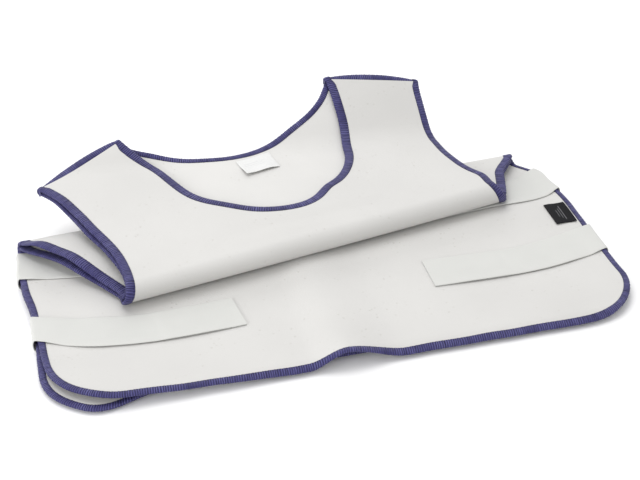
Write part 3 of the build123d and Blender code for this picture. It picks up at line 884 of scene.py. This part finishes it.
# ---------------------------------------------------------------- straps
STRAP_LOW = 12.4
STRAP_T = 1.2
STRAP_W = 50.0
STRAP_REACH = 205.0
ROOT_REACH = 60.0
SIDE_ROOM = 2.4
CLOTH_TOP = LEVELS["front"]["high"]
STRAP_RUNS = {
    "lower_left": [(-303, 128), (-274, 116), (-242, 108), (-200, 102), (-150, 103), (-92, 108)],
    "lower_right": [(307, 136), (275, 128), (235, 119), (200, 116), (156, 116), (90, 119)],
    "upper_left": [(-305, 250), (-270, 243), (-235, 233), (-200, 227), (-90, 222)],
    "upper_right": [(308, 269), (283, 257), (255, 250), (204, 245), (147, 238), (90, 231)],
}
HOOK_L = 70.0
HOOK_START = STRAP_REACH - HOOK_L - 6.0


def smooth_run(points, step):
    """A soft curve through a few points, by repeated corner cutting."""
    pts = np.array(points, float)
    for _ in range(4):
        a = pts[:-1] * 0.75 + pts[1:] * 0.25
        b = pts[:-1] * 0.25 + pts[1:] * 0.75
        pts = np.vstack([pts[:1], np.stack([a, b], 1).reshape(-1, 2), pts[-1:]])
    return resample(pts, step)[0]


def side_edge(side, s):
    """How far out the outermost bound edge lies at a distance up the garment."""
    hole = armhole()
    half = np.where(s < ARMHOLE_START, HEM_HALF, np.interp(s, hole[:, 1], hole[:, 0]))
    reach = [side * stray(side * half, s, panel)[0] for panel in ("front", "back")]
    return half + np.maximum(*reach)


def strap_place(name, q, p):
    """Flat position at a distance in from the side edge and a distance across the strap."""
    run = smooth_run(STRAP_RUNS[name], 1.0)
    side = 1 if run[0, 0] > 0 else -1
    if name == "lower_left":
        p = p + 0.16 * (STRAP_W / 2 - p) * (1 - smooth(q / 70.0))
    heading = np.gradient(run, axis=0)
    heading /= np.hypot(heading[:, 0], heading[:, 1])[:, None]
    k = np.arange(len(run))
    x = np.interp(q, k, run[:, 0])
    y = np.interp(q, k, run[:, 1])
    hx = np.interp(q, k, heading[:, 0])
    hy = np.interp(q, k, heading[:, 1])
    up = -side
    c = x - up * hy * p
    s = y + up * hx * p
    edge_c = side * side_edge(side, run[0, 1] + p) + hx * q
    edge_s = run[0, 1] + p + hy * q
    hold = 1 - smooth(q / 34.0)
    return c * (1 - hold) + edge_c * hold, s * (1 - hold) + edge_s * hold


def ribbon_profile(wide, thick):
    """Round-edged flat section: across the ribbon and out from its middle."""
    half = wide / 2
    t = thick / 2
    lip = min(0.3, t)
    across = np.linspace(-half + 0.8, half - 0.8, 17)
    top = [(a, t) for a in across]
    end = [(half - lip, t * 0.7), (half, 0), (half - lip, -t * 0.7)]
    bottom = [(a, -t) for a in across[::-1]]
    start = [(-half + lip, -t * 0.7), (-half, 0), (-half + lip, t * 0.7)]
    return np.array(top + end + bottom + start)


def over_cloth(name, q, p, out, level):
    c, s = strap_place(name, q, p)
    slack = (1.0 * smooth((-p - 6) / 18.0) * smooth((q - 24) / 40.0)
             * (1 - smooth((q - STRAP_REACH + 45) / 40.0)))
    return np.column_stack([c, s, level + out + slack + lift(c, s, "front")])


def strap_level(q):
    """The strap comes down onto the cloth between the side binding and its hook tape."""
    low = STRAP_LOW - 1.1 * smooth((q - 10) / 26.0) + 0.6 * smooth((q - HOOK_START + 12) / 12.0)
    return low + STRAP_T / 2


def finish_ribbon(name, rings, along, profile, mat):
    solid = (np.array(rings) - ORIGIN) * MM
    obj = laid_tube(name, solid, np.array(along) * MM, np.tile(profile[:, 0] * MM + 0.5, (len(along), 1)))
    smooth_by_angle(obj, 60)
    return dress(obj, mat)


def strap(name, top, root):
    """A strap from its root under the back panel, round the side edge and in over the front."""
    profile = ribbon_profile(STRAP_W, STRAP_T)
    p, n = profile[:, 0], profile[:, 1]
    side = 1 if name.endswith("right") else -1
    rings, along = [], []
    mid = (STRAP_LOW + STRAP_T) / 2
    rise = (STRAP_LOW) / 2
    if root:
        for reach in np.linspace(ROOT_REACH, 2, 20):
            c, s = strap_place(name, 0.0, p)
            rings.append(np.column_stack([c - side * reach, s, STRAP_T / 2 - n]))
            along.append(-reach - 20)
    first = 1.5 if root else 1.0
    last = 0.5 if top else 1.0
    for a in np.linspace(first * math.pi, last * math.pi, 19 if root and top else 10):
        k, up = -math.cos(a), math.sin(a)
        c, s = strap_place(name, 0.0, p)
        out_x, out_z = k / SIDE_ROOM, up / rise
        size = math.hypot(out_x, out_z)
        c = c + side * (SIDE_ROOM * k + n * out_x / size)
        rings.append(np.column_stack([c, s, mid + rise * up + n * out_z / size]))
        along.append(-20 * (a / math.pi - 0.5))
    if top:
        for q in np.linspace(1.5, STRAP_REACH, 92):
            rings.append(over_cloth(name, q, p, n, strap_level(q)))
            along.append(q)
    return finish_ribbon(("strap_" if top else "strap_root_") + name + "_web", rings, along, profile,
                         WEBBING)


def strap_pad(name, kind, start, length, wide, low, thick):
    profile = ribbon_profile(wide, thick)
    rings, along = [], []
    for q in np.linspace(start, start + length, 40):
        rings.append(over_cloth(name, q, profile[:, 0], profile[:, 1], low + thick / 2))
        along.append(q)
    return finish_ribbon(f"{kind}_{name}_pad", rings, along, profile, HOOKS)


for name in STRAP_RUNS:
    side = name.split("_")[1]
    lower = name.startswith("lower")
    body = f"{side}_strap" if lower else "skirt"
    if lower:
        obj = strap(name, True, False)
        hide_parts(f"strap_{name}")
        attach(obj, body)
        obj = strap(name, False, True)
        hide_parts(f"strap_root_{name}")
        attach(obj, "skirt")
    else:
        obj = strap(name, True, True)
        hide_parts(f"strap_{name}")
        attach(obj, "skirt")
    obj = strap_pad(name, "hook_tape", HOOK_START, HOOK_L, STRAP_W - 4, CLOTH_TOP + 0.3, 0.5)
    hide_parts(f"hook_tape_{name}")
    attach(obj, body)
    obj = strap_pad(name, "loop_patch", HOOK_START - 6, HOOK_L + 12, STRAP_W - 1, CLOTH_TOP, 0.3)
    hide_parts(f"loop_patch_{name}")
    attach(obj, "skirt")

# ---------------------------------------------------------------- labels
TAG_AT = 193.0
TAG_W = 42.0
TAG_L = 24.0
TAG_T = 0.6


def side_tag():
    """A folded woven tag whose two ends are caught in the inner seam of the side binding."""
    rings, along = [], []
    profile = ribbon_profile(TAG_W, TAG_T)
    p, n = profile[:, 0], profile[:, 1]
    for q in np.linspace(0, TAG_L, 22):
        s = TAG_AT + p + 0.6 * np.sin(q / 7.0)
        c = np.full_like(p, HEM_HALF - BINDING_REACH - 0.2 - q)
        across, up = stray(np.full_like(p, HEM_HALF), s, "front")
        down = 0.75 * smooth(q / 8.0) - 0.5 * smooth((q - 11) / 7.0)
        z = STRAP_LOW + TAG_T / 2 + n * (1 + 0.5 * smooth((q - 16) / 2)) - down
        rings.append(np.column_stack([c + across, s + up, z]))
        along.append(q)
    obj = finish_ribbon("side_tag_woven", rings, along, profile, TAG_CLOTH)
    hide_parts("side_label")
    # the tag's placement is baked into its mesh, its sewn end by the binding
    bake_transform(obj)


def care_tag():
    """A soft white label hanging from the back neck binding, its free corner curling up."""
    wide, long = 44.0, 32.0
    profile = ribbon_profile(wide, TAG_T * 0.6)
    p, n = profile[:, 0], profile[:, 1]
    top_at = NECK_AT - NECK_DROP["back"] - BINDING_REACH - 1.0
    rings, along = [], []
    for q in np.linspace(0, long, 36):
        c = p - 0.10 * q
        s = top_at - q + 1.2 * np.sin(p / 12.0)
        curl = (0.7 + 3.6 * smooth((q - 8) / 24.0) * smooth((26 - p) / 44.0)
                + 1.0 * np.sin(p / 7.0) * smooth(q / 20))
        rings.append((c, s, LEVELS["back"]["high"] + curl + n))
        along.append(q)
    rings = np.array(rings).transpose(0, 2, 1)
    flat = rings.reshape(-1, 3)
    solid = folded(flat[:, 0], flat[:, 1], flat[:, 2], "back").reshape(rings.shape)
    v = np.tile(p * MM + 0.5, (len(along), 1))
    obj = laid_tube("care_tag_satin", solid, np.array(along) * MM, v)
    smooth_by_angle(obj, 60)
    dress(obj, CARE_CLOTH)
    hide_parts("care_label")
    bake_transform(obj)


side_tag()
care_tag()

# ---------------------------------------------------------------- stage, light and camera
def flat_material(name, base, roughness):
    mat = bpy.data.materials.new(name)
    mat.use_nodes = True
    shader = mat.node_tree.nodes["Principled BSDF"]
    shader.inputs["Base Color"].default_value = (*base, 1)
    shader.inputs["Roughness"].default_value = roughness
    return mat


bpy.ops.mesh.primitive_plane_add(size=14, location=(0, 3.5, 0))
floor = bpy.context.object
floor.name = "floor"
floor.data.materials.append(flat_material("studio floor", (0.93, 0.93, 0.93), 0.9))

world = bpy.data.worlds.new("studio")
bpy.context.scene.world = world
world.use_nodes = True
world.node_tree.nodes["Background"].inputs[0].default_value = (1, 1, 1, 1)
world.node_tree.nodes["Background"].inputs[1].default_value = 0.80


def soft_light(name, place, aim, size, power):
    light = bpy.data.lights.new(name, "AREA")
    light.shape = "RECTANGLE"
    light.size, light.size_y = size
    light.energy = power
    obj = bpy.data.objects.new(name, light)
    bpy.context.collection.objects.link(obj)
    obj.location = place
    direction = np.array(aim) - np.array(place)
    flat = math.hypot(direction[0], direction[1])
    obj.rotation_euler = (math.atan2(flat, -direction[2]), 0,
                          math.atan2(direction[1], direction[0]) - math.pi / 2)


soft_light("overhead", (-0.3, 0.5, 2.4), (0, 0, 0), (2.2, 1.6), 27)
soft_light("back_fill", (0.6, 2.4, 1.6), (0, 0, 0), (2.4, 1.2), 14)
soft_light("left_fill", (-2.1, -1.3, 0.9), (0, 0, 0), (2.2, 1.2), 27)

lens = bpy.data.cameras.new("camera")
lens.lens = 85.23
lens.sensor_width = 36.0
lens.clip_end = 50
camera = bpy.data.objects.new("camera", lens)
bpy.context.collection.objects.link(camera)
camera.location = (-0.37477, -1.34083, 0.87966)
camera.rotation_euler = (math.radians(90 - 31.986), 0, math.radians(-16.215))
bpy.context.scene.camera = camera
bpy.context.scene.view_settings.view_transform = "Standard"
